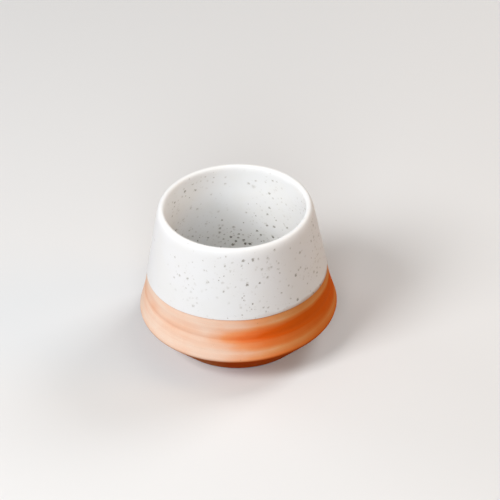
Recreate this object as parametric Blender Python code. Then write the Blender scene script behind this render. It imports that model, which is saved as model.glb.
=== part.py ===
"""Handleless cup: a turned terracotta body under a poured liner glaze and a dipped outer glaze.

Lengths are metres and +Z is up. The origin is the centre of the foot, on the table.
Every piece is a section in the (radius, height) plane, turned round the cup's axis.
"""

import math
from collections import namedtuple

import bmesh
import bpy

MM = 0.001

# Overall form of the finished cup
HEIGHT = 67.0 * MM
MOUTH_RADIUS = 34.4 * MM
TRIM_RADIUS = 42.4 * MM
TRIM_HEIGHT = 24.5 * MM
SHOULDER_RADIUS = 45.2 * MM
SHOULDER_HEIGHT = 14.2 * MM
SHOULDER_ROUND = 2.0 * MM
GLAZE_LINE_HEIGHT = 33.0 * MM

# Wall, lip and floor, measured over the glaze
LIP_WIDTH = 3.4 * MM
LIP_CROWN = 1.58 * MM
LIP_OUTER_ROUND = 2.0 * MM
LIP_INNER_ROUND = 1.2 * MM
LOWER_WALL_WIDTH = 5.0 * MM
FLOOR_HEIGHT = 7.0 * MM
FLOOR_ROUND = 10.0 * MM

# Glaze coats and the clay that they sit on
GLAZE_THICKNESS = 0.5 * MM
GLAZE_SEAT_GAP = 0.3 * MM
GLAZE_STEP = 0.35 * MM
GLAZE_EDGE_ROUND = 0.3 * MM

# Lines left by the turning tool on the bare clay, above and below the one where the skirt was trimmed
UPPER_LINE_HEIGHT = 29.0 * MM
LOWER_LINE_HEIGHT = 20.8 * MM
TURNED_LINE_HALF_WIDTH = 0.45 * MM
TURNED_LINE_DEPTH = 0.18 * MM

# Trimmed foot
FOOT_RADIUS = 31.7 * MM
FOOT_EDGE_ROUND = 0.8 * MM
FOOT_RING_WIDTH = 5.0 * MM
FOOT_RECESS_DEPTH = 1.6 * MM
FOOT_RECESS_SLOPE = 1.2 * MM
FOOT_RECESS_ROUND = 0.6 * MM

# Fineness of the facets
SEGMENTS = 64
ARC_STEP = math.radians(18.0)
MERGE_DISTANCE = 1e-6
SHARP_ANGLE = math.radians(35.0)

# Finishes: linear colour and roughness
TERRACOTTA = ((0.80, 0.33, 0.15, 1.0), 0.85)
WHITE_GLAZE = ((0.86, 0.84, 0.80, 1.0), 0.45)

Corner = namedtuple("Corner", "r z round")


def clear_scene():
    """Remove whatever objects the scene holds."""
    for thing in list(bpy.data.objects):
        bpy.data.objects.remove(thing, do_unlink=True)


def direction(start, end):
    """Unit vector from one corner to the next."""
    length = math.hypot(end.r - start.r, end.z - start.z)
    return (end.r - start.r) / length, (end.z - start.z) / length


def turn_angle(before, after):
    """Signed angle between two unit vectors: positive for a left turn."""
    cross = before[0] * after[1] - before[1] * after[0]
    dot = before[0] * after[0] + before[1] * after[1]
    return math.atan2(cross, dot)


def slide(corner, way, along, right=0.0):
    """The point reached from a corner by going along a direction and to the right of it."""
    r = corner.r + way[0] * along + way[1] * right
    z = corner.z + way[1] * along - way[0] * right
    return Corner(r, z, 0.0)


def set_back(chain, depth):
    """The chain moved to its right by a depth, with its rounds kept concentric."""
    ways = [direction(a, b) for a, b in zip(chain, chain[1:])]
    moved = [slide(chain[0], ways[0], 0.0, depth)]
    for corner, before, after in zip(chain[1:], ways, ways[1:]):
        turn = turn_angle(before, after)
        spot = slide(corner, before, depth * math.tan(turn / 2), depth)
        moved.append(spot._replace(round=corner.round + math.copysign(depth, turn)))
    moved.append(slide(chain[-1], ways[-1], 0.0, depth))
    return moved


def rounded_corner(previous, corner, following):
    """Points of the arc that rounds one corner, or the corner itself if it is sharp."""
    before = direction(previous, corner)
    after = direction(corner, following)
    turn = turn_angle(before, after)
    if corner.round <= 0.0 or abs(turn) < ARC_STEP / 2:
        return [(corner.r, corner.z)]
    start = slide(corner, before, -corner.round * math.tan(abs(turn) / 2))
    side = math.copysign(corner.round, turn)
    steps = max(2, math.ceil(abs(turn) / ARC_STEP))
    points = []
    for step in range(steps + 1):
        angle = turn * step / steps
        spot = slide(start, before, side * math.sin(angle), -side * (1.0 - math.cos(angle)))
        points.append((spot.r, spot.z))
    return points


def outline(chain):
    """Points of an open chain, with each inner corner rounded by its own radius."""
    points = [(chain[0].r, chain[0].z)]
    for previous, corner, following in zip(chain, chain[1:], chain[2:]):
        points += rounded_corner(previous, corner, following)
    points.append((chain[-1].r, chain[-1].z))
    return points


def material(name, finish):
    """A plain finish with the piece's colour and roughness."""
    colour, roughness = finish
    made = bpy.data.materials.new(name)
    made.use_nodes = True
    shader = made.node_tree.nodes["Principled BSDF"]
    shader.inputs["Base Color"].default_value = colour
    shader.inputs["Roughness"].default_value = roughness
    shader.inputs["Metallic"].default_value = 0.0
    return made


def turned(name, section, finish, closed):
    """Turn a section round the cup's axis into one smooth closed body."""
    shape = bmesh.new()
    points = [shape.verts.new((r, 0.0, z)) for r, z in section]
    edges = [shape.edges.new(pair) for pair in zip(points, points[1:])]
    if closed:
        edges.append(shape.edges.new((points[-1], points[0])))
    bmesh.ops.spin(
        shape,
        geom=points + edges,
        axis=(0.0, 0.0, 1.0),
        cent=(0.0, 0.0, 0.0),
        angle=2.0 * math.pi,
        steps=SEGMENTS,
        use_merge=True,
    )
    bmesh.ops.remove_doubles(shape, verts=shape.verts, dist=MERGE_DISTANCE)
    bmesh.ops.recalc_face_normals(shape, faces=shape.faces)
    mesh = bpy.data.meshes.new(name)
    shape.to_mesh(mesh)
    shape.free()
    mesh.shade_smooth()
    mesh.set_sharp_from_angle(angle=SHARP_ANGLE)
    mesh.materials.append(material(name, finish))
    piece = bpy.data.objects.new(name, mesh)
    bpy.context.collection.objects.link(piece)
    return piece


def wall_way():
    """Direction of the straight outer wall, from the lip down to the line where the skirt was trimmed."""
    lip = Corner(MOUTH_RADIUS, HEIGHT, 0.0)
    trim = Corner(TRIM_RADIUS, TRIM_HEIGHT, 0.0)
    return direction(lip, trim)


def at_height(start, end, height):
    """The point at a height on the straight run between two corners."""
    way = direction(start, end)
    return slide(start, way, (height - start.z) / way[1])


def inner_corners():
    """Glazed surface of the inside: floor centre, floor edge and inner lip."""
    way = wall_way()
    drop = HEIGHT - FLOOR_HEIGHT
    lip = MOUTH_RADIUS - LIP_WIDTH
    floor = lip + drop * way[0] / -way[1] - (LOWER_WALL_WIDTH - LIP_WIDTH)
    return [
        Corner(0.0, FLOOR_HEIGHT, 0.0),
        Corner(floor, FLOOR_HEIGHT, FLOOR_ROUND),
        Corner(lip, HEIGHT, LIP_INNER_ROUND),
    ]


def outer_corners(reach=0.0):
    """Glazed surface of the outside: outer lip and glaze line, run on by a reach."""
    lip = Corner(MOUTH_RADIUS, HEIGHT, LIP_OUTER_ROUND)
    trim = Corner(TRIM_RADIUS, TRIM_HEIGHT, 0.0)
    line = at_height(lip, trim, GLAZE_LINE_HEIGHT)
    return [lip, slide(line, wall_way(), reach)]


def lip_crown():
    """Top of the lip, where the two coats of glaze meet."""
    return Corner(MOUTH_RADIUS - LIP_WIDTH + LIP_CROWN, HEIGHT, 0.0)


def make_liner_glaze():
    """Coat poured inside, from the floor up to the crown of the lip."""
    crown = lip_crown()
    end = crown._replace(r=crown.r - GLAZE_SEAT_GAP / 2)
    front = inner_corners() + [end]
    back = set_back(front, GLAZE_THICKNESS)
    return turned("liner_glaze", outline(front + back[::-1]), WHITE_GLAZE, closed=False)


def make_outer_glaze():
    """Dipped coat, from the crown of the lip down to a rounded edge at the glaze line."""
    crown = lip_crown()
    start = crown._replace(r=crown.r + GLAZE_SEAT_GAP / 2)
    front = [start] + outer_corners()
    back = set_back(front, GLAZE_THICKNESS)
    front[-1] = front[-1]._replace(round=GLAZE_EDGE_ROUND)
    return turned("outer_glaze", outline(front + back[::-1]), WHITE_GLAZE, closed=True)


def turned_line(above, middle, below):
    """Three corners of a shallow line that the turning tool cut into the bare wall at its middle point."""
    return [
        slide(middle, direction(above, middle), -TURNED_LINE_HALF_WIDTH),
        slide(middle, direction(above, middle), 0.0, TURNED_LINE_DEPTH),
        slide(middle, direction(middle, below), TURNED_LINE_HALF_WIDTH),
    ]


def bare_corners():
    """Bare clay: skirt below the glaze with its turned lines, shoulder, undercut and foot."""
    line = outer_corners(GLAZE_SEAT_GAP)[-1]
    top = slide(line, wall_way(), 0.0, GLAZE_STEP)
    trim = slide(Corner(TRIM_RADIUS, TRIM_HEIGHT, 0.0), wall_way(), 0.0, GLAZE_STEP)
    shoulder = Corner(SHOULDER_RADIUS, SHOULDER_HEIGHT, SHOULDER_ROUND)
    upper = at_height(top, trim, UPPER_LINE_HEIGHT)
    lower = at_height(trim, shoulder, LOWER_LINE_HEIGHT)
    ring = FOOT_RADIUS - FOOT_RING_WIDTH
    chain = [top]
    for above, middle, below in ((top, upper, trim), (upper, trim, lower), (trim, lower, shoulder)):
        chain += turned_line(above, middle, below)
    return chain + [
        shoulder,
        Corner(FOOT_RADIUS, 0.0, FOOT_EDGE_ROUND),
        Corner(ring, 0.0, FOOT_RECESS_ROUND),
        Corner(ring - FOOT_RECESS_SLOPE, FOOT_RECESS_DEPTH, FOOT_RECESS_ROUND),
        Corner(0.0, FOOT_RECESS_DEPTH, 0.0),
    ]


def make_clay_body():
    """Terracotta body: glaze seats inside and out, bare skirt, shoulder and trimmed foot."""
    glazed = inner_corners() + outer_corners(GLAZE_SEAT_GAP)
    seat = set_back(glazed, GLAZE_THICKNESS + GLAZE_SEAT_GAP)
    return turned("clay_body", outline(seat + bare_corners()), TERRACOTTA, closed=False)


def main():
    """Build the cup's three pieces."""
    clear_scene()
    make_clay_body()
    make_liner_glaze()
    make_outer_glaze()


main()
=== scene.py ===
"""Looks of a handleless cup: bare terracotta below, speckled white glaze above and inside.

Lengths are metres, +Z is up and the cup stands on the origin. Every piece is a grid of points:
one parameter runs along a section in the (radius, height) plane, the other runs round the cup.
A section runs from the floor up the inside, over the lip and down the outside to the foot, so
the solid is on its right and the open air on its left. Angles start at +X and run towards +Y,
and the camera is on the -Y side.
"""

import math
from collections import namedtuple

import bpy
import numpy as np
from mathutils import Matrix, Vector


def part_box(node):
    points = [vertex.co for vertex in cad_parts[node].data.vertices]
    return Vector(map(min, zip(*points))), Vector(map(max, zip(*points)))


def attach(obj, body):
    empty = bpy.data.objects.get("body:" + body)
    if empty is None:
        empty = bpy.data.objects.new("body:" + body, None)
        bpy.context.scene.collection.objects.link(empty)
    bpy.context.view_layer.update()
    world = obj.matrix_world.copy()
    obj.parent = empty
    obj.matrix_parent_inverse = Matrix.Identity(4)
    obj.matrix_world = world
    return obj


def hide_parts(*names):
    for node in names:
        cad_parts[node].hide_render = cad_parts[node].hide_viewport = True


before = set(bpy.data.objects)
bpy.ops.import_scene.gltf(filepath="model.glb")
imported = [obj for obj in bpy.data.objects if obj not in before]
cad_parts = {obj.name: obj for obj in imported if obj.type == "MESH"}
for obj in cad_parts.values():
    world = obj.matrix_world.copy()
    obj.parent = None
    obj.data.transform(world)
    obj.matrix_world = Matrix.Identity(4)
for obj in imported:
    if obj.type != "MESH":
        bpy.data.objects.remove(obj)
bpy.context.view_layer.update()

MM = 0.001

# Form of the finished cup, as the solids have it
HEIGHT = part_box("outer_glaze")[1].z
MOUTH_RADIUS = 34.4 * MM
TRIM_RADIUS = 42.4 * MM
TRIM_HEIGHT = 24.5 * MM
SHOULDER_RADIUS = 45.2 * MM
SHOULDER_HEIGHT = 14.2 * MM
SHOULDER_ROUND = 2.0 * MM
GLAZE_LINE_HEIGHT = 33.0 * MM
LIP_WIDTH = 3.4 * MM
LIP_CROWN = 1.58 * MM
LOWER_WALL_WIDTH = 5.0 * MM
FLOOR_HEIGHT = 7.0 * MM
FLOOR_ROUND = 10.0 * MM
FOOT_RADIUS = 31.7 * MM
FOOT_EDGE_ROUND = 0.8 * MM
FOOT_RING_WIDTH = 5.0 * MM
FOOT_RECESS_DEPTH = 1.6 * MM
FOOT_RECESS_SLOPE = 1.2 * MM
FOOT_RECESS_ROUND = 0.6 * MM
FOOT_RECESS_RADIUS = FOOT_RADIUS - FOOT_RING_WIDTH - FOOT_RECESS_SLOPE

# Corners that are softer than in the solids
TRIM_ROUND = 20.0 * MM
LIP_OUTER_REACH = (1.5 * MM, 4.5 * MM)
LIP_INNER_REACH = (4.0 * MM, 1.4 * MM)

# Coats of glaze, fused to the clay; waves round the cup as count, height and starting angle
COAT_THICKNESS = 0.24 * MM
CLAY_DEPTH = 0.18 * MM
COAT_EDGE_ROUND = 0.16 * MM
COAT_EDGE_RUN = 1.2 * MM
COAT_BEAD = 0.05 * MM
COAT_BEAD_WIDTH = 1.1 * MM
GLAZE_LINE_TILT = (0.48 * MM, -0.95 * MM)
GLAZE_LINE_MARGIN = 2.0 * MM
GLAZE_LINE_WAVER = ((3, 0.08 * MM, 0.7), (7, 0.05 * MM, 2.1), (13, 0.03 * MM, 4.0))
GLAZE_LINE_FADE = (0.5 * MM, 9.0 * MM)

# Lines cut by the turning tool: height and depth of each
TURNED_LINES = ((29.0 * MM, 0.012 * MM), (24.6 * MM, 0.03 * MM), (20.8 * MM, 0.015 * MM))
TURNED_LINE_WIDTH = 0.80 * MM
TURNED_LINE_WANDER = 0.12 * MM
TURNED_LINE_SWAY = 0.2

# Spiral ridges of the wheel and the tool: pitch, height and turns of each, and where they rise to full
TOOL_RIDGES = ((0.95 * MM, 0.004 * MM, 1), (1.47 * MM, 0.004 * MM, -2), (3.1 * MM, 0.012 * MM, 1))
TOOL_RIDGES_ABOVE_FOOT = (1.2 * MM, 3.0 * MM)
RECESS_RIDGES = ((1.9 * MM, 0.035 * MM, 1), (3.3 * MM, 0.025 * MM, 1))
RECESS_RIDGES_FROM_EDGE = (1.0 * MM, 3.0 * MM)
THROWING_RIDGES = ((6.5 * MM, 0.014 * MM, 1), (11.0 * MM, 0.012 * MM, 1))
THROWING_RIDGES_BELOW_LIP = (4.0 * MM, 14.0 * MM)
THROWING_RIDGES_FROM_AXIS = (1.0 * MM, 6.0 * MM)

# How far the hand left the cup off true
OVAL = 0.0016
OVAL_TURN = math.radians(20.0)
LIP_DIP = 0.16 * MM
LIP_DIP_TURN = math.radians(70.0)

# Flashed bands of the bare clay, with painted shade under the shoulder: height, and how far its colour goes
# from pale to deep orange
FLASH_AND_SHADE_BANDS = (
    # The two lowest rows, on the undercut, are painted shade with a painted warm light bounced from below
    (0.0 * MM, 1.80),
    (13.2 * MM, 1.60),
    (14.4 * MM, 0.58),
    (15.6 * MM, 0.46),
    (16.8 * MM, 0.38),
    (18.4 * MM, 0.34),
    (19.8 * MM, 0.48),
    (20.6 * MM, 0.53),
    (22.6 * MM, 0.58),
    (23.6 * MM, 0.76),
    (24.6 * MM, 0.96),
    (26.0 * MM, 0.88),
    (27.8 * MM, 0.70),
    (30.5 * MM, 0.30),
    (31.5 * MM, 0.32),
    (33.0 * MM, 0.34),
)
FLASH_WANDER = ((1, 0.30 * MM, 1.3), (3, 0.18 * MM, 0.4))
# Side where the clay is deepest: partly real flashing, partly painted shade away from the lamps, and paler
# towards the lit side as painted light
FLASH_AND_SHADE_SIDE = math.radians(-15.0)
FLASH_SIDE_WAVER = ((4, 0.05, 1.0),)
FLASH_SPREAD = (-0.20, 1.12)
FLASH_LEAST = 0.16
FLASH_MOST = 1.60
# Least share on the undercut, raised as painted shade so that it is deep orange all round
UNDERCUT_SHADE_LEAST = 0.30
UNDERCUT_EDGE = (13.2 * MM, 14.4 * MM)
# Painted shade: how the clay darkens towards the side away from the lamps
SIDE_SHADE_SPREAD = (0.25, 1.0)
FOOT_FLASH = 0.36
FOOT_FLASH_REACH = 2.0 * MM

# Glaze: linear colours, patterns as lumps to the metre and detail, and bump heights in millimetres
GLAZE_WHITE = (0.915, 0.915, 0.915, 1.0)
GLAZE_WARM = (0.905, 0.901, 0.889, 1.0)
GLAZE_CLOUD = (85.0, 3.0)
GLAZE_CLOUD_RANGE = (0.35, 0.65)
GLAZE_LOW_INSIDE = (0.86, 0.85, 0.81, 1.0)
LOW_INSIDE_TINT = 0.2
GLAZE_ROUGHNESS = 0.52
GLAZE_ROUGHNESS_SWING = 0.12
GLAZE_GLOSS = 0.30
GLAZE_RIPPLE = (420.0, 2.0)
GLAZE_RIPPLE_HEIGHT = 0.012
GLAZE_GRAIN = (2600.0, 2.0)
GLAZE_GRAIN_HEIGHT = 0.004

# Brown line along the outer coat's lower edge, with its reach in millimetres
GLAZE_EDGE = (0.46, 0.27, 0.17, 1.0)
GLAZE_EDGE_STRENGTH = 0.70
GLAZE_EDGE_PATCHES = (160.0, 2.0)
GLAZE_EDGE_PATCH_RANGE = (0.3, 0.7)
GLAZE_EDGE_REACH = (1.6, 2.8)
GLAZE_EDGE_FULL = 0.1
# Side of the cup where the brown edge line is darkest, and the least share that it keeps elsewhere
EDGE_LINE_SIDE = math.radians(-15.0)
EDGE_LINE_SIDE_SPREAD = (0.2, 0.95)
EDGE_LINE_SIDE_LEAST = 0.05
# Painted glare: the brightly lit side, where fewer specks show
SPECK_GLARE_SIDE = math.radians(168.0)
SPECK_GLARE_SPREAD = (0.1, 0.8)

# Iron specks: each size as cell, reach and share of cells kept
SPECK_SIZES = ((2.3 * MM, 1.34 * MM, 0.85), (1.6 * MM, 0.66 * MM, 0.22), (6.5 * MM, 2.0 * MM, 0.36))
SPECK_RAGGED = (1400.0, 2.0)
SPECK_CLOUD = (70.0, 1.0)
SPECK_CLOUD_RANGE = (0.30, 0.70)
SPECK_GATHER = (0.25, 1.75)
SPECK_WIDTHS = (0.45, 1.0)
SPECK_CORE_SHARE = 0.06
SPECK_DARKNESS = (0.22, 0.70)
SPECK_DARKNESS_POWER = 2.2
SPECK_HALO = (0.50, 0.47, 0.42, 1.0)
SPECK_HALO_RANGE = (0.0, 0.5)
SPECK_HALO_STRENGTH = 0.7
SPECK_CORE = (0.10, 0.09, 0.07, 1.0)
SPECK_CORE_RANGE = (0.2, 0.9)
SPECK_ROUGHNESS = 0.15
SPECK_PIT_HEIGHT = -0.02

# Crowding of the specks: 1 is the share of cells above, less on the lit side as painted glare and more low
# down inside
SPECK_SHOWN = (0.88, 0.22)
LIP_SPECKS = 0.10
LIP_CLEAR = 7.0 * MM
WALL_SPECKS = 0.85
LOW_INSIDE_SPECKS = 2.2
LOW_INSIDE_DEPTH = (37.0 * MM, 17.0 * MM)
FAINT_CROWDING = 0.5
LOW_INSIDE_TINT_CROWDING = 1.0
CROWDED_STRENGTH = (0.80, 1.7)

# Terracotta: linear colours by tone, and patterns long round the cup and short up it
CLAY_TONES = (
    (0.0, (0.94, 0.74, 0.60, 1.0)),
    (0.20, (0.94, 0.54, 0.355, 1.0)),
    (0.38, (0.95, 0.36, 0.146, 1.0)),
    (0.58, (0.95, 0.225, 0.055, 1.0)),
    (0.90, (0.90, 0.122, 0.006, 1.0)),
)
# Painted shade: colour that the clay is multiplied by on its side away from the lamps
CLAY_SIDE_SHADE = (0.80, 0.99, 0.80, 1.0)
CLAY_STREAK = ((26.0, 26.0, 620.0), 4.0)
CLAY_STREAK_TONE = 0.10
CLAY_BLOTCH = ((95.0, 95.0, 150.0), 3.0)
CLAY_BLOTCH_TONE = 0.22
CLAY_THREAD = ((60.0, 60.0, 2600.0), 3.0)
CLAY_THREAD_BRIGHTNESS = 0.06
CLAY_THREAD_HEIGHT = 0.012
CLAY_GRIT = (3600.0, 3.0)
CLAY_GRIT_BRIGHTNESS = 0.14
CLAY_GRIT_ROUGHNESS = 0.16
CLAY_GRIT_HEIGHT = 0.030
CLAY_PORES = (1500.0, 1.0)
CLAY_PORE_RANGE = (0.34, 0.24)
CLAY_PORE_HEIGHT = -0.05
CLAY_ROUGHNESS = 0.86
CLAY_GLOSS = 0.10

# Dust, painted shade under the glaze line, specks and wear on the terracotta
# Colour of the dust in the turned lines, and of the painted shade below the glaze line
CLAY_DUST_AND_SHADE = (0.50, 0.13, 0.04, 1.0)
GROOVE_DUST = 0.12
# Painted shade: how much darker the clay is just below the glaze edge, as its shadow
LINE_SHADE = 0.22
LINE_SHADE_REACH = 0.9
CLAY_SPECK = (0.12, 0.06, 0.035, 1.0)
CLAY_SPECK_SIZE = (4.0 * MM, 0.45 * MM, 0.12)
CLAY_SPECK_STRENGTH = 0.7
CLAY_WORN = (0.62, 0.45, 0.34, 1.0)
WEAR_HEIGHT = (0.5 * MM, 0.1 * MM)
WEAR_PATCHES = (260.0, 3.0)
WEAR_PATCH_RANGE = (0.35, 0.65)
WEAR_STRENGTH = (0.2, 0.7)
WEAR_ROUGHNESS = -0.2

# Node sockets
VECTOR = "NodeSocketVector"
NUMBER = "NodeSocketFloat"
COLOUR = "NodeSocketColor"

# Fineness of the grids, and the flat map of each piece
AROUND = 240
SKIRT_STEP = 0.18 * MM
FOOT_STEP = 0.22 * MM
RECESS_STEP = 0.45 * MM
COAT_STEP = 0.26 * MM
COAT_EDGE_STEP = 0.05 * MM
LINER_STEP = 0.50 * MM
HIDDEN_STEP = 2.0 * MM
ARC_POINTS = 48
SHARP_ANGLE = math.radians(40.0)
UNWRAP_STRIPS = 3
UNWRAP_MARGIN = 0.012
UNWRAP_NAME = "OFBake"

# Camera of the photograph, fitted to the cup's edges in a square frame
CAMERA_PLACE = (0.00599, -0.72944, 0.56796)
CAMERA_PITCH = math.radians(35.777)
CAMERA_ROLL = -0.0318
CAMERA_LENS = 144.0
CAMERA_SENSOR = 36.0

# Stage and room
STAGE_HALF_SIZE = 6.0
STAGE_PALE = (0.80, 0.795, 0.79, 1.0)
STAGE_BOUNCE = (0.055, 0.016, 0.006, 1.0)
STAGE_DROP = 0.1 * MM
STAGE_FADE = (0.35, 1.1)
UNDER_GLOW = (1.0, 0.95, 0.9, 1.0)
UNDER_GLOW_STRENGTH = 0.25
BACKDROP_PALE = (0.86, 0.86, 0.86, 1.0)
ROOM_LIGHT = (1.0, 0.97, 0.94, 1.0)
ROOM_STRENGTH = 0.12

# Soft lamps: degrees to the right of the camera's side, degrees up, watts and colour
LAMPS = {
    "key": (-56.0, 42.0, 10.2, (0.98, 0.99, 1.0)),
    "front_fill": (-3.0, 27.0, 6.0, (0.93, 0.97, 1.0)),
    "right_fill": (84.0, 30.0, 2.2, (1.0, 0.52, 0.14)),
    "back": (127.0, 41.0, 5.2, (0.95, 0.98, 1.0)),
    "left_fill": (-124.0, 14.0, 2.6, (0.97, 0.98, 1.0)),
}
CUP_MIDDLE = (0.0, 0.0, 0.035)
LAMP_DISTANCE = 1.2
LAMP_SIZE = 0.5

# Corner of a section: its place, and its round's radius or its reaches before and after
Corner = namedtuple("Corner", "r z round reach", defaults=(None,))


def smooth_step(value, low, high):
    """0 below low and 1 above high, with an S-shaped ramp 3t^2 - 2t^3 between them."""
    t = np.clip((value - low) / (high - low), 0.0, 1.0)
    return t * t * (3.0 - 2.0 * t)


def waves(angle, table):
    """Sum of sine waves round the cup, each with its count per round, height and starting angle."""
    return sum(height * np.sin(count * angle + start) for count, height, start in table)


def side_share(angle, side, spread):
    """Share from 0 to 1 by how far an angle faces a side: the cosine of the turn between them."""
    return smooth_step(np.cos(angle - side), *spread)


def way_along(section):
    """Length travelled along a section at each of its points."""
    steps = np.linalg.norm(np.diff(section, axis=0), axis=1)
    return np.append(0.0, np.cumsum(steps))


def soft_corner(place, before, after, reach):
    """Points of the parabola that begins one reach before a corner and ends the other after it."""
    t = np.linspace(0.0, 1.0, ARC_POINTS)
    start = place - before * reach[0]
    end = place + after * reach[1]
    return np.outer((1 - t) ** 2, start) + np.outer(2 * t * (1 - t), place) + np.outer(t ** 2, end)


def round_corner(place, before, after, radius):
    """Points of the arc that begins radius * tan(turn / 2) before a corner and bends through the turn."""
    left = np.array([-before[1], before[0]])
    turn = math.atan2(after @ left, after @ before)
    side = math.copysign(radius, turn)
    bend = np.linspace(0.0, turn, ARC_POINTS)
    start = place - before * side * math.tan(turn / 2)
    return start + side * np.outer(np.sin(bend), before) + side * np.outer(1 - np.cos(bend), left)


def rounded_path(corners, spacing):
    """Section along straight runs with rounded corners, as points about a spacing apart.

    A corner that has reaches is a parabola, and any other an arc. The runs and curves are joined,
    measured by length, and read off at equal steps.
    """
    places = np.array([(corner.r, corner.z) for corner in corners])
    ways = np.diff(places, axis=0)
    ways /= np.linalg.norm(ways, axis=1, keepdims=True)
    traced = [places[:1]]
    for corner, place, before, after in zip(corners[1:-1], places[1:-1], ways, ways[1:]):
        if corner.reach:
            traced.append(soft_corner(place, before, after, corner.reach))
        else:
            traced.append(round_corner(place, before, after, corner.round))
    traced.append(places[-1:])
    traced = np.concatenate(traced)
    length = way_along(traced)
    steps = np.linspace(0.0, length[-1], max(2, round(length[-1] / spacing) + 1))
    return np.column_stack([np.interp(steps, length, traced[:, 0]), np.interp(steps, length, traced[:, 1])])


def outward(section):
    """Unit normals on the open side of a section: the chord between neighbours, turned to its left."""
    chord = np.gradient(section, axis=0)
    chord /= np.linalg.norm(chord, axis=1, keepdims=True)
    return np.column_stack([-chord[:, 1], chord[:, 0]])


def set_back(section, depth):
    """The section moved into the solid by a depth along its normals."""
    return section - depth * outward(section)


def spiral_ridges(way, angle, ridges):
    """Sum of sine waves along a section, each wound a whole number of turns per round of the cup."""
    return sum(
        height * np.sin(2.0 * math.pi * way[:, None] / pitch + turns * angle)
        for pitch, height, turns in ridges
    )


def hand_thrown(r, z, angle):
    """A cup off true: it grows oval with the square of its height, and its lip dips on one side."""
    rise = (z / HEIGHT) ** 2
    oval = 1.0 + OVAL * rise * np.cos(2.0 * (angle - OVAL_TURN))
    dip = LIP_DIP * rise * (np.cos(angle - LIP_DIP_TURN) - 1.0) / 2.0
    return r * oval, z + dip


def turned_points(section, relief, angle):
    """Grid of points: section point i, raised by relief[i, j] along its normal and turned to angle j."""
    out = outward(section)
    r = section[:, :1] + out[:, :1] * relief
    z = section[:, 1:] + out[:, 1:] * relief
    r, z = hand_thrown(r, z, angle)
    return np.stack([r * np.cos(angle), r * np.sin(angle), z], axis=-1)


def skin_faces(rows, closed):
    """Row and column of each face's four corners, and which of the four are used.

    A face joins (i, j), (i + 1, j), (i + 1, j + 1) and (i, j + 1). On the axis, where an open
    section starts and ends, two of its corners are one point, so one is left out.
    """
    row = np.arange(rows if closed else rows - 1)
    column = np.arange(AROUND)
    row, column = (part.ravel() for part in np.meshgrid(row, column, indexing="ij"))
    face_row = np.stack([row, row + 1, row + 1, row], axis=1)
    face_column = np.stack([column, column, column + 1, column + 1], axis=1)
    used = np.ones(face_row.shape, bool)
    if not closed:
        used[row == 0, 3] = False
        used[row == rows - 2, 2] = False
    return face_row, face_column, used


def fill_mesh(mesh, points, corners, used):
    """Puts the points into a mesh, and the used corners of each face in their order."""
    mesh.vertices.add(len(points))
    mesh.vertices.foreach_set("co", points.astype(np.float32).ravel())
    mesh.loops.add(int(used.sum()))
    mesh.loops.foreach_set("vertex_index", corners[used].astype(np.int32))
    mesh.polygons.add(len(corners))
    starts = np.append(0, np.cumsum(used.sum(axis=1))[:-1])
    mesh.polygons.foreach_set("loop_start", starts.astype(np.int32))
    mesh.update(calc_edges=True)


def unwrapped(face_row, face_column, rows):
    """Flat map of a turned skin: the cup's round is cut in strips, laid one above the other.

    Across runs the column within its strip, and up runs the row, inside a margin round each strip.
    """
    width = AROUND // UNWRAP_STRIPS
    strip = face_column[:, :1] // width
    across = (face_column - strip * width) / width
    up = face_row / (rows - 1)
    inner = 1.0 - 2.0 * UNWRAP_MARGIN
    u = UNWRAP_MARGIN + inner * across
    v = (strip + UNWRAP_MARGIN + inner * up) / UNWRAP_STRIPS
    return np.stack([u, v], axis=-1)


def turned_skin(name, section, relief, angle, closed, finish, marks):
    """A piece made of a section with a relief, turned round the cup, with marks on its points.

    The last column of the grid meets the first, and a closed section's last row meets its first.
    An open section starts and ends on the axis, where each row is a single point.
    """
    points = turned_points(section, relief, angle)
    rows = len(section)
    index = np.arange(rows * AROUND).reshape(rows, AROUND)
    kept = np.ones((rows, AROUND), bool)
    if not closed:
        ends = [0, -1]
        index[ends] = index[ends, :1]
        kept[ends, 1:] = False
        points[ends, :, :2] = 0.0
        points[ends, :, 2] = points[ends, :, 2].mean(axis=1, keepdims=True)
    renumbered = np.cumsum(kept) - 1
    index = renumbered[index]

    mesh = bpy.data.meshes.new(name)
    face_row, face_column, used = skin_faces(rows, closed)
    fill_mesh(mesh, points[kept], index[face_row % rows, face_column % AROUND], used)
    flat = unwrapped(face_row, face_column, rows + 1 if closed else rows)
    layer = mesh.uv_layers.new(name=UNWRAP_NAME)
    layer.uv.foreach_set("vector", flat[used].astype(np.float32).ravel())
    for label, values in marks.items():
        spread = np.broadcast_to(values, (rows, AROUND))
        written = mesh.attributes.new(label, "FLOAT", "POINT")
        written.data.foreach_set("value", spread[kept].astype(np.float32))
    mesh.validate()
    mesh.shade_smooth()
    mesh.set_sharp_from_angle(angle=SHARP_ANGLE)
    mesh.materials.append(finish)
    piece = bpy.data.objects.new(name, mesh)
    bpy.context.scene.collection.objects.link(piece)
    return piece


def wall_way():
    """Unit vector down the straight outer wall, from the lip to the line where the skirt was trimmed."""
    run = np.array([TRIM_RADIUS - MOUTH_RADIUS, TRIM_HEIGHT - HEIGHT])
    return run / np.linalg.norm(run)


def on_wall(above_line, depth=0.0, rounding=0.0):
    """Corner on the outer wall, a distance up from the glaze line and a depth into the wall."""
    way = wall_way()
    inward = np.array([way[1], -way[0]])
    down = (GLAZE_LINE_HEIGHT - HEIGHT) / way[1] - above_line
    r, z = np.array([MOUTH_RADIUS, HEIGHT]) + down * way + depth * inward
    return Corner(r, z, rounding)


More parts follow.
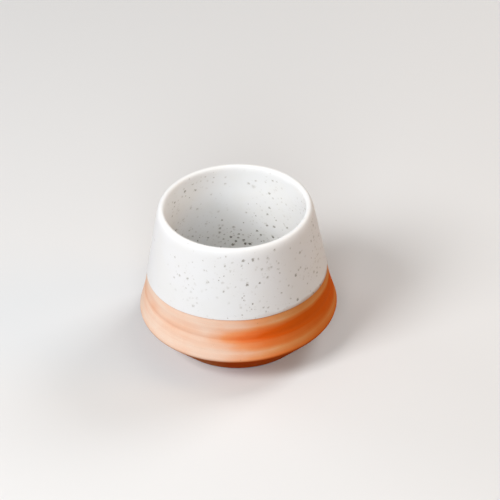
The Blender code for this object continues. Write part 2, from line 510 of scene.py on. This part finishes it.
def inside_corners():
    """Drink side of the cup: floor centre, floor edge and inner lip."""
    way = wall_way()
    lip = MOUTH_RADIUS - LIP_WIDTH
    spread = (HEIGHT - FLOOR_HEIGHT) * way[0] / -way[1]
    floor = lip + spread - (LOWER_WALL_WIDTH - LIP_WIDTH)
    return [
        Corner(0.0, FLOOR_HEIGHT, 0.0),
        Corner(floor, FLOOR_HEIGHT, FLOOR_ROUND),
        Corner(lip, HEIGHT, 0.0, LIP_INNER_REACH),
    ]


def lip_crown():
    """Top of the lip, where the two coats meet."""
    return Corner(MOUTH_RADIUS - LIP_WIDTH + LIP_CROWN, HEIGHT, 0.0)


def outer_lip():
    """Outer corner of the lip, drawn soft down the wall."""
    return Corner(MOUTH_RADIUS, HEIGHT, 0.0, LIP_OUTER_REACH)


def between(start, end):
    """Corner half way along a run."""
    return Corner((start.r + end.r) / 2, (start.z + end.z) / 2, 0.0)


def line_shift(angle):
    """How far the glaze line stands above its mean at each angle: a tilt and a few slow waves."""
    tilt = GLAZE_LINE_TILT[0] * np.cos(angle) + GLAZE_LINE_TILT[1] * np.sin(angle)
    return tilt + waves(angle, GLAZE_LINE_WAVER)


def groove_depth(height, angle):
    """Depth of the turned lines: a bell curve across each line.

    Round the cup, sine waves make each line wander up and down and its depth sway below its deepest.
    """
    depth = np.zeros((len(height), AROUND))
    for number, (level, deepest) in enumerate(TURNED_LINES):
        wander = TURNED_LINE_WANDER * np.sin((number + 1) * angle + number)
        sway = TURNED_LINE_SWAY * (np.sin((number + 2) * angle + 2 * number) - 1.0)
        apart = (height[:, None] - level - wander) / TURNED_LINE_WIDTH
        depth += deepest * (1.0 + sway) * np.exp(-(apart ** 2))
    return depth


def flash_and_shade_strength(height, angle):
    """Flashing with painted light and shade: bands by height whose edges wander, stronger on one side.

    The stronger side is partly real flashing and partly painted shade on the side away from the lamps,
    and the paler lit side is partly painted light. The other side keeps a least share of each band,
    which is larger on the undercut, where the deep orange is painted shade.
    """
    levels, strengths = np.array(FLASH_AND_SHADE_BANDS).T
    bands = np.interp(height[:, None] + waves(angle, FLASH_WANDER), levels, strengths)
    facing = np.cos(angle - FLASH_AND_SHADE_SIDE) + waves(angle, FLASH_SIDE_WAVER)
    least = np.interp(height, UNDERCUT_EDGE, (UNDERCUT_SHADE_LEAST, FLASH_LEAST))[:, None]
    return bands * (least + (FLASH_MOST - least) * smooth_step(facing, *FLASH_SPREAD))


def clay_section():
    """Section of the clay, and which of its points are bare.

    It has seats under both coats, then the skirt, shoulder, undercut, foot ring and recess.
    """
    glazed = inside_corners() + [outer_lip(), on_wall(GLAZE_LINE_MARGIN)]
    trim = Corner(TRIM_RADIUS - CLAY_DEPTH, TRIM_HEIGHT, TRIM_ROUND)
    shoulder = Corner(SHOULDER_RADIUS, SHOULDER_HEIGHT, SHOULDER_ROUND)
    foot = Corner(FOOT_RADIUS, 0.0, FOOT_EDGE_ROUND)
    ring = Corner(FOOT_RADIUS - FOOT_RING_WIDTH, 0.0, FOOT_RECESS_ROUND)
    recess = Corner(FOOT_RECESS_RADIUS, FOOT_RECESS_DEPTH, FOOT_RECESS_ROUND)
    centre = Corner(0.0, FOOT_RECESS_DEPTH, 0.0)
    undercut = between(shoulder, foot)
    stand = between(foot, ring)
    seat = set_back(rounded_path(glazed, HIDDEN_STEP), CLAY_DEPTH)[:-1]
    skirt = rounded_path([on_wall(GLAZE_LINE_MARGIN, CLAY_DEPTH), trim, shoulder, undercut], SKIRT_STEP)
    base = rounded_path([undercut, foot, stand], FOOT_STEP)
    under = rounded_path([stand, ring, recess, centre], RECESS_STEP)
    section = np.concatenate([seat, skirt, base[1:], under[1:]])
    return section, np.arange(len(section)) >= len(seat)


def make_clay_body(angle, finish):
    """Terracotta body, whose relief is the tool's spiral ridges less the turned lines.

    The ring that it stands on has no relief. The marks are how far the clay is flashed, with painted
    light and shade in that share, how much painted shade darkens one side, how deep a turned line is
    at a point, and how many millimetres the point is below the glaze line.
    """
    section, is_bare = clay_section()
    radius, height = section.T
    way = way_along(section)
    outside = (is_bare * smooth_step(height, *TOOL_RIDGES_ABOVE_FOOT))[:, None]
    in_recess = (is_bare * smooth_step(FOOT_RECESS_RADIUS - radius, *RECESS_RIDGES_FROM_EDGE))[:, None]
    beneath = (is_bare * smooth_step(FOOT_RADIUS - radius, 0.0, FOOT_FLASH_REACH))[:, None]
    groove = groove_depth(height, angle) * outside
    relief = spiral_ridges(way, angle, TOOL_RIDGES) * outside - groove
    relief += spiral_ridges(way, angle, RECESS_RIDGES) * in_recess
    flash_and_shade = flash_and_shade_strength(height, angle)
    line = line_shift(angle) + GLAZE_LINE_HEIGHT
    marks = {
        "flash_and_shade": flash_and_shade + beneath * (FOOT_FLASH - flash_and_shade),
        # Painted shade on the side away from the lamps
        "side_shade": side_share(angle, FLASH_AND_SHADE_SIDE, SIDE_SHADE_SPREAD) * (1.0 - beneath),
        "groove": groove / max(depth for _, depth in TURNED_LINES),
        "below_line": (line - height[:, None]) / MM,
    }
    return turned_skin("terracotta_body", section, relief, angle, False, finish, marks)


def make_liner_coat(angle, finish):
    """Coat inside, from the floor's centre to the lip's crown, with its hidden back one thickness behind.

    The relief is the throwing spiral that shows softly through the glaze. It fades out towards the
    lip and at the very middle of the floor.
    """
    corners = inside_corners() + [lip_crown()]
    front = rounded_path(corners, LINER_STEP)
    back = set_back(rounded_path(corners, HIDDEN_STEP), COAT_THICKNESS)[::-1]
    section = np.concatenate([front, back])
    radius, height = section.T
    is_front = np.arange(len(section)) < len(front)
    below_lip = smooth_step(HEIGHT - height, *THROWING_RIDGES_BELOW_LIP)
    off_axis = smooth_step(radius, *THROWING_RIDGES_FROM_AXIS)
    relief = spiral_ridges(way_along(section), angle, THROWING_RIDGES)
    relief *= (is_front * below_lip * off_axis)[:, None]
    return turned_skin("liner_coat", section, relief, angle, False, finish, {})


def make_outer_coat(angle, finish):
    """Dipped coat, from the lip's crown down to a beaded edge at the glaze line, and its hidden back.

    The relief is a bell-shaped bead along the edge. The rows near the edge slide along the wall by
    the line's shift, less and less higher up. The marks are how many millimetres a point is above
    the edge, how strong the brown edge line is round the cup, and on which side fewer specks show as
    painted glare.
    """
    crown = lip_crown()
    turn = on_wall(COAT_EDGE_RUN)
    front = rounded_path([crown, outer_lip(), turn], COAT_STEP)
    tucked = on_wall(0.0, COAT_THICKNESS)
    edge = rounded_path([turn, on_wall(0.0, rounding=COAT_EDGE_ROUND), tucked], COAT_EDGE_STEP)
    back = set_back(rounded_path([crown, outer_lip(), on_wall(0.0)], HIDDEN_STEP), COAT_THICKNESS)[::-1]
    section = np.concatenate([front, edge[1:], back[1:]])
    climb = section[:, 1] - GLAZE_LINE_HEIGHT
    is_front = np.arange(len(section)) < len(front) + len(edge) - 1
    bead = is_front * COAT_BEAD * np.exp(-((climb / COAT_BEAD_WIDTH) ** 2))
    relief = np.broadcast_to(bead[:, None], (len(section), AROUND))
    edge_line_side = side_share(angle, EDGE_LINE_SIDE, EDGE_LINE_SIDE_SPREAD)
    marks = {
        "above_edge": (np.maximum(climb, 0.0) / MM)[:, None],
        "edge_line_share": EDGE_LINE_SIDE_LEAST + (1.0 - EDGE_LINE_SIDE_LEAST) * edge_line_side,
        "glare_side": side_share(angle, SPECK_GLARE_SIDE, SPECK_GLARE_SPREAD),
    }
    coat = turned_skin("outer_coat", section, relief, angle, True, finish, marks)
    slide_edge(coat.data, climb, angle)
    return coat


def slide_edge(mesh, climb, angle):
    """Moves each point along the outer wall by the glaze line's shift, fading with height above it."""
    fade = 1.0 - smooth_step(climb, *GLAZE_LINE_FADE)
    shift = -fade[:, None] * line_shift(angle)
    out, up = wall_way()
    moves = np.stack([shift * out * np.cos(angle), shift * out * np.sin(angle), shift * up], axis=-1)
    places = np.empty(len(mesh.vertices) * 3, np.float32)
    mesh.vertices.foreach_get("co", places)
    mesh.vertices.foreach_set("co", (places + moves.ravel()).astype(np.float32))
    mesh.update()


def add(tree, kind, inputs=None, **settings):
    """A node with its settings, and each named or numbered input set to a value or linked."""
    made = tree.nodes.new(kind)
    for name, value in settings.items():
        setattr(made, name, value)
    for name, value in (inputs or {}).items():
        if isinstance(value, bpy.types.NodeSocket):
            tree.links.new(value, made.inputs[name])
        else:
            made.inputs[name].default_value = value
    return made


def maths(tree, operation, *values):
    """Result of one arithmetic step on up to three values."""
    return add(tree, "ShaderNodeMath", dict(enumerate(values)), operation=operation).outputs[0]


def vectors(tree, operation, first, second):
    """Result of one step on two vectors, or on a vector and a number that scales it."""
    other = "Scale" if operation == "SCALE" else 1
    return add(tree, "ShaderNodeVectorMath", {0: first, other: second}, operation=operation).outputs[0]


def ramp(tree, value, low, high, to_low=0.0, to_high=1.0):
    """The value carried from one range to another with soft, clamped ends."""
    inputs = {"Value": value, "From Min": low, "From Max": high, "To Min": to_low, "To Max": to_high}
    return add(tree, "ShaderNodeMapRange", inputs, interpolation_type="SMOOTHSTEP").outputs[0]


def span(tree, share, low, high):
    """The value that lies a share of the way from low to high."""
    return maths(tree, "MULTIPLY_ADD", share, high - low, low)


def swing(tree, pattern, amount):
    """A pattern from 0 to 1 made to swing about zero, by half the amount each way."""
    return maths(tree, "MULTIPLY", maths(tree, "SUBTRACT", pattern, 0.5), amount)


def total(tree, *values):
    """Sum of several values."""
    added = values[0]
    for value in values[1:]:
        added = maths(tree, "ADD", added, value)
    return added


def mix(tree, share, first, second, blend="MIX"):
    """Two colours mixed by a share of the second."""
    inputs = {0: share, 6: first, 7: second}
    return add(tree, "ShaderNodeMix", inputs, data_type="RGBA", blend_type=blend).outputs[2]


def mix_shaders(tree, share, first, second):
    """Two shaders mixed by a share of the second."""
    return add(tree, "ShaderNodeMixShader", {0: share, 1: first, 2: second}).outputs[0]


def noise(tree, place, scale, detail, output="Fac"):
    """Cloudy pattern with about so many lumps to the metre."""
    inputs = {"Vector": place, "Scale": scale, "Detail": detail}
    return add(tree, "ShaderNodeTexNoise", inputs).outputs[output]


def stretched_noise(tree, place, scales, detail):
    """Cloudy pattern with its own number of lumps to the metre along each axis."""
    return noise(tree, vectors(tree, "MULTIPLY", place, scales), 1.0, detail)


def mark(tree, name):
    """A value that the piece's own points carry."""
    return add(tree, "ShaderNodeAttribute", attribute_name=name).outputs["Fac"]


def height_of(tree, place):
    """Height above the floor that the cup stands on."""
    return add(tree, "ShaderNodeSeparateXYZ", {0: place}).outputs["Z"]


def new_group(name, inputs, outputs):
    """An empty node group with named sockets, and its own input and output sockets."""
    tree = bpy.data.node_groups.new(name, "ShaderNodeTree")
    for socket, kind in inputs.items():
        tree.interface.new_socket(socket, in_out="INPUT", socket_type=kind)
    for socket, kind in outputs.items():
        tree.interface.new_socket(socket, in_out="OUTPUT", socket_type=kind)
    given = tree.nodes.new("NodeGroupInput").outputs
    result = tree.nodes.new("NodeGroupOutput").inputs
    return tree, given, result


def new_finish(name):
    """An empty material with its shader, and the place on the piece that its patterns read."""
    finish = bpy.data.materials.new(name)
    finish.use_nodes = True
    tree = finish.node_tree
    shader = tree.nodes["Principled BSDF"]
    place = add(tree, "ShaderNodeTexCoord").outputs["Object"]
    return finish, tree, shader, place


def dress(tree, shader, colour, roughness, height, gloss):
    """Gives a shader its colour, roughness, bump from a height in millimetres, and gloss."""
    bump = add(tree, "ShaderNodeBump", {"Strength": 1.0, "Distance": MM, "Height": height})
    tree.links.new(colour, shader.inputs["Base Color"])
    tree.links.new(roughness, shader.inputs["Roughness"])
    tree.links.new(bump.outputs["Normal"], shader.inputs["Normal"])
    shader.inputs["Specular IOR Level"].default_value = gloss


def iron_specks():
    """Specks of iron: a ragged dot round some of the points of a 3-D cell pattern.

    A cell's own random numbers say whether it has a speck, how wide it is and how dark. Cells are
    kept more often where a slow cloud is bright, so that specks gather.
    """
    tree, given, result = new_group(
        "iron_specks",
        {"Place": VECTOR, "Cell": NUMBER, "Reach": NUMBER, "Presence": NUMBER},
        {"Mask": NUMBER},
    )
    lumps = noise(tree, given["Place"], *SPECK_RAGGED, output="Color")
    ragged = vectors(tree, "SCALE", vectors(tree, "SUBTRACT", lumps, (0.5, 0.5, 0.5)), given["Reach"])
    place = vectors(tree, "ADD", given["Place"], ragged)
    per_metre = maths(tree, "DIVIDE", 1.0, given["Cell"])
    cells = add(tree, "ShaderNodeTexVoronoi", {"Vector": place, "Scale": per_metre}).outputs
    draw = add(tree, "ShaderNodeSeparateColor", {0: cells["Color"]}).outputs
    cloud = noise(tree, cells["Position"], *SPECK_CLOUD)
    gather = ramp(tree, cloud, *SPECK_CLOUD_RANGE, *SPECK_GATHER)
    kept = maths(tree, "LESS_THAN", draw[0], maths(tree, "MULTIPLY", given["Presence"], gather))
    widest = maths(tree, "DIVIDE", given["Reach"], given["Cell"])
    width = maths(tree, "MULTIPLY", widest, span(tree, draw[1], *SPECK_WIDTHS))
    dot = ramp(tree, cells["Distance"], width, maths(tree, "MULTIPLY", width, SPECK_CORE_SHARE))
    dark = span(tree, maths(tree, "POWER", draw[2], SPECK_DARKNESS_POWER), *SPECK_DARKNESS)
    mask = maths(tree, "MULTIPLY", maths(tree, "MULTIPLY", dot, dark), kept)
    tree.links.new(mask, result["Mask"])
    return tree


def speck_mask(tree, specks, place, cell, reach, presence):
    """Mask of one size of speck, with its cell, its reach and the share of cells that it keeps."""
    inputs = {"Place": place, "Cell": cell, "Reach": reach, "Presence": presence}
    return add(tree, "ShaderNodeGroup", inputs, node_tree=specks).outputs["Mask"]


def crowded_specks(tree, specks, place, crowding):
    """Three sizes of speck in one mask, each kept more often, and all darker, where they crowd."""
    strongest = 0.0
    for cell, reach, presence in SPECK_SIZES:
        kept = maths(tree, "MULTIPLY", crowding, presence)
        mask = speck_mask(tree, specks, place, cell, reach, kept)
        strongest = maths(tree, "MAXIMUM", strongest, mask)
    strength = ramp(tree, crowding, FAINT_CROWDING, LOW_INSIDE_SPECKS, *CROWDED_STRENGTH)
    return maths(tree, "MINIMUM", maths(tree, "MULTIPLY", strongest, strength), 1.0)


def speckled_white(specks):
    """White satin glaze: a faintly cloudy white with three sizes of iron speck and a waxy skin.

    Where the specks crowd, low down inside, the white is a little darker and warmer. Each speck has a
    dark core in a paler halo. Browning is 0 where the glaze is full and 1 where it runs out over the clay.
    The height is in millimetres: slow ripples and a fine grain, with a pit at each speck.
    """
    tree, given, result = new_group(
        "speckled_white",
        {"Place": VECTOR, "Crowding": NUMBER, "Browning": NUMBER},
        {"Colour": COLOUR, "Roughness": NUMBER, "Height": NUMBER},
    )
    place = given["Place"]
    crowding = given["Crowding"]
    speck = crowded_specks(tree, specks, place, crowding)
    halo = ramp(tree, speck, *SPECK_HALO_RANGE, 0.0, SPECK_HALO_STRENGTH)
    core = ramp(tree, speck, *SPECK_CORE_RANGE)
    cloud = noise(tree, place, *GLAZE_CLOUD)
    ripple = noise(tree, place, *GLAZE_RIPPLE)
    grain = noise(tree, place, *GLAZE_GRAIN)

    white = mix(tree, ramp(tree, cloud, *GLAZE_CLOUD_RANGE), GLAZE_WHITE, GLAZE_WARM)
    low_tint = ramp(tree, crowding, LOW_INSIDE_TINT_CROWDING, LOW_INSIDE_SPECKS, 0.0, LOW_INSIDE_TINT)
    low_tinted = mix(tree, low_tint, white, GLAZE_LOW_INSIDE)
    haloed = mix(tree, halo, low_tinted, SPECK_HALO)
    specked = mix(tree, core, haloed, SPECK_CORE)
    colour = mix(tree, given["Browning"], specked, GLAZE_EDGE)
    roughness = total(
        tree,
        GLAZE_ROUGHNESS,
        swing(tree, ripple, GLAZE_ROUGHNESS_SWING),
        maths(tree, "MULTIPLY", speck, SPECK_ROUGHNESS),
    )
    height = total(
        tree,
        swing(tree, ripple, GLAZE_RIPPLE_HEIGHT),
        swing(tree, grain, GLAZE_GRAIN_HEIGHT),
        maths(tree, "MULTIPLY", core, SPECK_PIT_HEIGHT),
    )
    tree.links.new(colour, result["Colour"])
    tree.links.new(roughness, result["Roughness"])
    tree.links.new(height, result["Height"])
    return tree


def glaze_finish(name, white, crowding, browning):
    """Speckled white glaze on one coat, with its own crowding of specks and browned edge."""
    finish, tree, shader, place = new_finish(name)
    inputs = {"Place": place, "Crowding": crowding(tree, place), "Browning": browning(tree, place)}
    coat = add(tree, "ShaderNodeGroup", inputs, node_tree=white).outputs
    dress(tree, shader, coat["Colour"], coat["Roughness"], coat["Height"], GLAZE_GLOSS)
    return finish


def lip_thinning(tree, place):
    """Share of the specks that is left near the lip, where the glaze drains thin."""
    return ramp(tree, height_of(tree, place), HEIGHT, HEIGHT - LIP_CLEAR, LIP_SPECKS, 1.0)


def glare_thinned_crowding(tree, place):
    """Fewer specks outside on the brightly lit side, as painted glare that washes them out."""
    shown = ramp(tree, mark(tree, "glare_side"), 0.0, 1.0, *SPECK_SHOWN)
    return maths(tree, "MULTIPLY", shown, lip_thinning(tree, place))


def low_inside_crowding(tree, place):
    """More specks low down inside."""
    low_inside = ramp(tree, height_of(tree, place), *LOW_INSIDE_DEPTH, WALL_SPECKS, LOW_INSIDE_SPECKS)
    return maths(tree, "MULTIPLY", low_inside, lip_thinning(tree, place))


def no_browning(tree, place):
    """Full glaze all over."""
    return 0.0


def edge_browning(tree, place):
    """A thin brown line along the coat's lower edge, wider in some places and darker on one side of the
    cup.
    """
    patches = noise(tree, place, *GLAZE_EDGE_PATCHES)
    reach = ramp(tree, patches, *GLAZE_EDGE_PATCH_RANGE, *GLAZE_EDGE_REACH)
    line = ramp(tree, mark(tree, "above_edge"), reach, GLAZE_EDGE_FULL, 0.0, GLAZE_EDGE_STRENGTH)
    return maths(tree, "MULTIPLY", line, mark(tree, "edge_line_share"))


def clay_tones(tree, tone):
    """Colour of the clay by its tone, from peach to deep orange."""
    band = add(tree, "ShaderNodeValToRGB", {0: tone})
    stops = band.color_ramp.elements
    stops.remove(stops[0])
    stops[0].position, stops[0].color = CLAY_TONES[0]
    for position, colour in CLAY_TONES[1:]:
        stops.new(position).color = colour
    return band.outputs["Color"]


def fired_clay(tree, place, grit, thread):
    """Colour of the fired clay: its flashed tone, which holds painted shade, darkened on one side as
    painted shade.

    The tone is the flash-and-shade mark swung by streaks, which are long round the cup and short up it,
    and by slow blotches. Grit and fine threads vary its brightness.
    """
    streak = swing(tree, stretched_noise(tree, place, *CLAY_STREAK), CLAY_STREAK_TONE)
    blotch = swing(tree, stretched_noise(tree, place, *CLAY_BLOTCH), CLAY_BLOTCH_TONE)
    tone = total(tree, mark(tree, "flash_and_shade"), streak, blotch)
    side_shaded = mix(tree, mark(tree, "side_shade"), clay_tones(tree, tone), CLAY_SIDE_SHADE, "MULTIPLY")
    brightness = total(
        tree,
        1.0,
        swing(tree, grit, CLAY_GRIT_BRIGHTNESS),
        swing(tree, thread, CLAY_THREAD_BRIGHTNESS),
    )
    return mix(tree, 1.0, side_shaded, brightness, "MULTIPLY")


def dusted_and_shaded_clay(tree, clay):
    """Clay with darker dust in its turned lines, and painted shade just below the glaze line."""
    in_groove = maths(tree, "MULTIPLY", mark(tree, "groove"), GROOVE_DUST)
    darkened_clay = mix(tree, in_groove, clay, CLAY_DUST_AND_SHADE)
    # Painted shade just below the glaze edge
    near_line = ramp(tree, mark(tree, "below_line"), LINE_SHADE_REACH, 0.0, 0.0, LINE_SHADE)
    return mix(tree, near_line, darkened_clay, CLAY_DUST_AND_SHADE)


def foot_wear(tree, place):
    """Patchy share of wear on the ring that the cup stands on, gone just above it."""
    low = ramp(tree, height_of(tree, place), *WEAR_HEIGHT)
    patchy = ramp(tree, noise(tree, place, *WEAR_PATCHES), *WEAR_PATCH_RANGE, *WEAR_STRENGTH)
    return maths(tree, "MULTIPLY", low, patchy)


def terracotta_finish(specks):
    """Bare fired clay, dusty in its lines, with painted shade below the glaze line, on one side and under
    the shoulder, a few iron specks and a worn foot.

    Its roughness swings with the grit and drops where it is worn. The height is in millimetres: grit
    and fine threads, with open pores at the lowest spots of one more pattern.
    """
    finish, tree, shader, place = new_finish("terracotta")
    grit = noise(tree, place, *CLAY_GRIT)
    thread = stretched_noise(tree, place, *CLAY_THREAD)
    worn = foot_wear(tree, place)
    darkened_clay = dusted_and_shaded_clay(tree, fired_clay(tree, place, grit, thread))
    speck = maths(tree, "MULTIPLY", speck_mask(tree, specks, place, *CLAY_SPECK_SIZE), CLAY_SPECK_STRENGTH)
    specked = mix(tree, speck, darkened_clay, CLAY_SPECK)
    colour = mix(tree, worn, specked, CLAY_WORN)
    roughness = total(
        tree,
        CLAY_ROUGHNESS,
        swing(tree, grit, CLAY_GRIT_ROUGHNESS),
        maths(tree, "MULTIPLY", worn, WEAR_ROUGHNESS),
    )
    height = total(
        tree,
        swing(tree, grit, CLAY_GRIT_HEIGHT),
        swing(tree, thread, CLAY_THREAD_HEIGHT),
        ramp(tree, noise(tree, place, *CLAY_PORES), *CLAY_PORE_RANGE, 0.0, CLAY_PORE_HEIGHT),
    )
    dress(tree, shader, colour, roughness, height, CLAY_GLOSS)
    return finish


def seen_rays(tree):
    """1 for rays that show a thing itself: from the camera, off gloss or through glass."""
    rays = add(tree, "ShaderNodeLightPath").outputs
    mirrored = maths(tree, "MAXIMUM", rays["Is Glossy Ray"], rays["Is Transmission Ray"])
    return maths(tree, "MAXIMUM", rays["Is Camera Ray"], mirrored)


def floor_finish():
    """Pale floor that keeps the cup's shadow, and throws a warmer, dimmer light back on the cup.

    Far from the cup it fades into the backdrop. It is clear from below, and under the foot it glows
    faintly, so that the foot can be seen from there.
    """
    finish = bpy.data.materials.new("pale_floor")
    finish.use_nodes = True
    finish.cycles.emission_sampling = "NONE"
    tree = finish.node_tree
    tree.nodes.clear()
    place = add(tree, "ShaderNodeTexCoord").outputs["Object"]
    from_axis = add(tree, "ShaderNodeVectorMath", {0: place}, operation="LENGTH").outputs["Value"]
    pale = add(tree, "ShaderNodeBsdfDiffuse", {"Color": STAGE_PALE}).outputs[0]
    bounced = add(tree, "ShaderNodeBsdfDiffuse", {"Color": STAGE_BOUNCE}).outputs[0]
    backdrop = add(tree, "ShaderNodeEmission", {"Color": BACKDROP_PALE, "Strength": 1.0}).outputs[0]
    glow = {"Color": UNDER_GLOW, "Strength": UNDER_GLOW_STRENGTH}
    glowing = add(tree, "ShaderNodeEmission", glow).outputs[0]
    clear = add(tree, "ShaderNodeBsdfTransparent").outputs[0]

    shown = mix_shaders(tree, ramp(tree, from_axis, *STAGE_FADE), pale, backdrop)
    open_floor = mix_shaders(tree, seen_rays(tree), bounced, shown)
    under_foot = maths(tree, "LESS_THAN", from_axis, FOOT_RADIUS - FOOT_EDGE_ROUND)
    top = mix_shaders(tree, under_foot, open_floor, glowing)
    below = add(tree, "ShaderNodeNewGeometry").outputs["Backfacing"]
    add(tree, "ShaderNodeOutputMaterial", {"Surface": mix_shaders(tree, below, top, clear)})
    return finish


def make_floor():
    """Square floor, a hair below the foot."""
    half = STAGE_HALF_SIZE
    places = [(x, y, -STAGE_DROP) for x, y in ((-half, -half), (half, -half), (half, half), (-half, half))]
    mesh = bpy.data.meshes.new("floor")
    mesh.from_pydata(places, [], [(0, 1, 2, 3)])
    mesh.materials.append(floor_finish())
    floor = bpy.data.objects.new("floor", mesh)
    bpy.context.scene.collection.objects.link(floor)


def light_room():
    """Even room light from all round, with a pale backdrop where the camera or a gloss sees it."""
    world = bpy.data.worlds.new("room")
    world.use_nodes = True
    tree = world.node_tree
    tree.nodes.clear()
    light = add(tree, "ShaderNodeBackground", {"Color": ROOM_LIGHT, "Strength": ROOM_STRENGTH}).outputs[0]
    backdrop = add(tree, "ShaderNodeBackground", {"Color": BACKDROP_PALE, "Strength": 1.0}).outputs[0]
    both = mix_shaders(tree, seen_rays(tree), light, backdrop)
    add(tree, "ShaderNodeOutputWorld", {"Surface": both})
    bpy.context.scene.world = world


def add_soft_lamp(name, side, climb, power, colour):
    """A square lamp that faces the middle of the cup from a side and a climb given in degrees."""
    lamp = bpy.data.lights.new(name, "AREA")
    lamp.shape = "SQUARE"
    lamp.size = LAMP_SIZE
    lamp.energy = power
    lamp.color = colour
    turn = math.radians(side)
    rise = math.radians(climb)
    way = Vector((math.sin(turn) * math.cos(rise), -math.cos(turn) * math.cos(rise), math.sin(rise)))
    holder = bpy.data.objects.new(name, lamp)
    holder.location = Vector(CUP_MIDDLE) + way * LAMP_DISTANCE
    holder.rotation_euler = way.to_track_quat("Z", "Y").to_euler()
    bpy.context.scene.collection.objects.link(holder)


def set_camera():
    """The photograph's camera: above the cup in front, pitched down and a little rolled."""
    lens = bpy.data.cameras.new("camera")
    lens.lens = CAMERA_LENS
    lens.sensor_width = CAMERA_SENSOR
    lens.sensor_fit = "HORIZONTAL"
    camera = bpy.data.objects.new("camera", lens)
    tilt = Matrix.Rotation(math.pi / 2 - CAMERA_PITCH, 4, "X")
    roll = Matrix.Rotation(CAMERA_ROLL, 4, "Z")
    camera.matrix_world = Matrix.Translation(CAMERA_PLACE) @ tilt @ roll
    bpy.context.scene.collection.objects.link(camera)
    bpy.context.scene.camera = camera
    bpy.context.scene.view_settings.view_transform = "Standard"


def place_piece(piece, node):
    """The piece rides on the cup's one body and stands for a node of the solid model."""
    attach(piece, "root")
    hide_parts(node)


def main():
    """The cup's three pieces in their finishes, on a pale floor in soft light."""
    angle = np.linspace(0.0, 2.0 * math.pi, AROUND, endpoint=False)
    specks = iron_specks()
    white = speckled_white(specks)
    liner = glaze_finish("liner_glaze", white, low_inside_crowding, no_browning)
    outer = glaze_finish("outer_glaze", white, glare_thinned_crowding, edge_browning)
    place_piece(make_clay_body(angle, terracotta_finish(specks)), "clay_body")
    place_piece(make_liner_coat(angle, liner), "liner_glaze")
    place_piece(make_outer_coat(angle, outer), "outer_glaze")
    make_floor()
    light_room()
    for name, lamp in LAMPS.items():
        add_soft_lamp(name, *lamp)
    set_camera()


main()
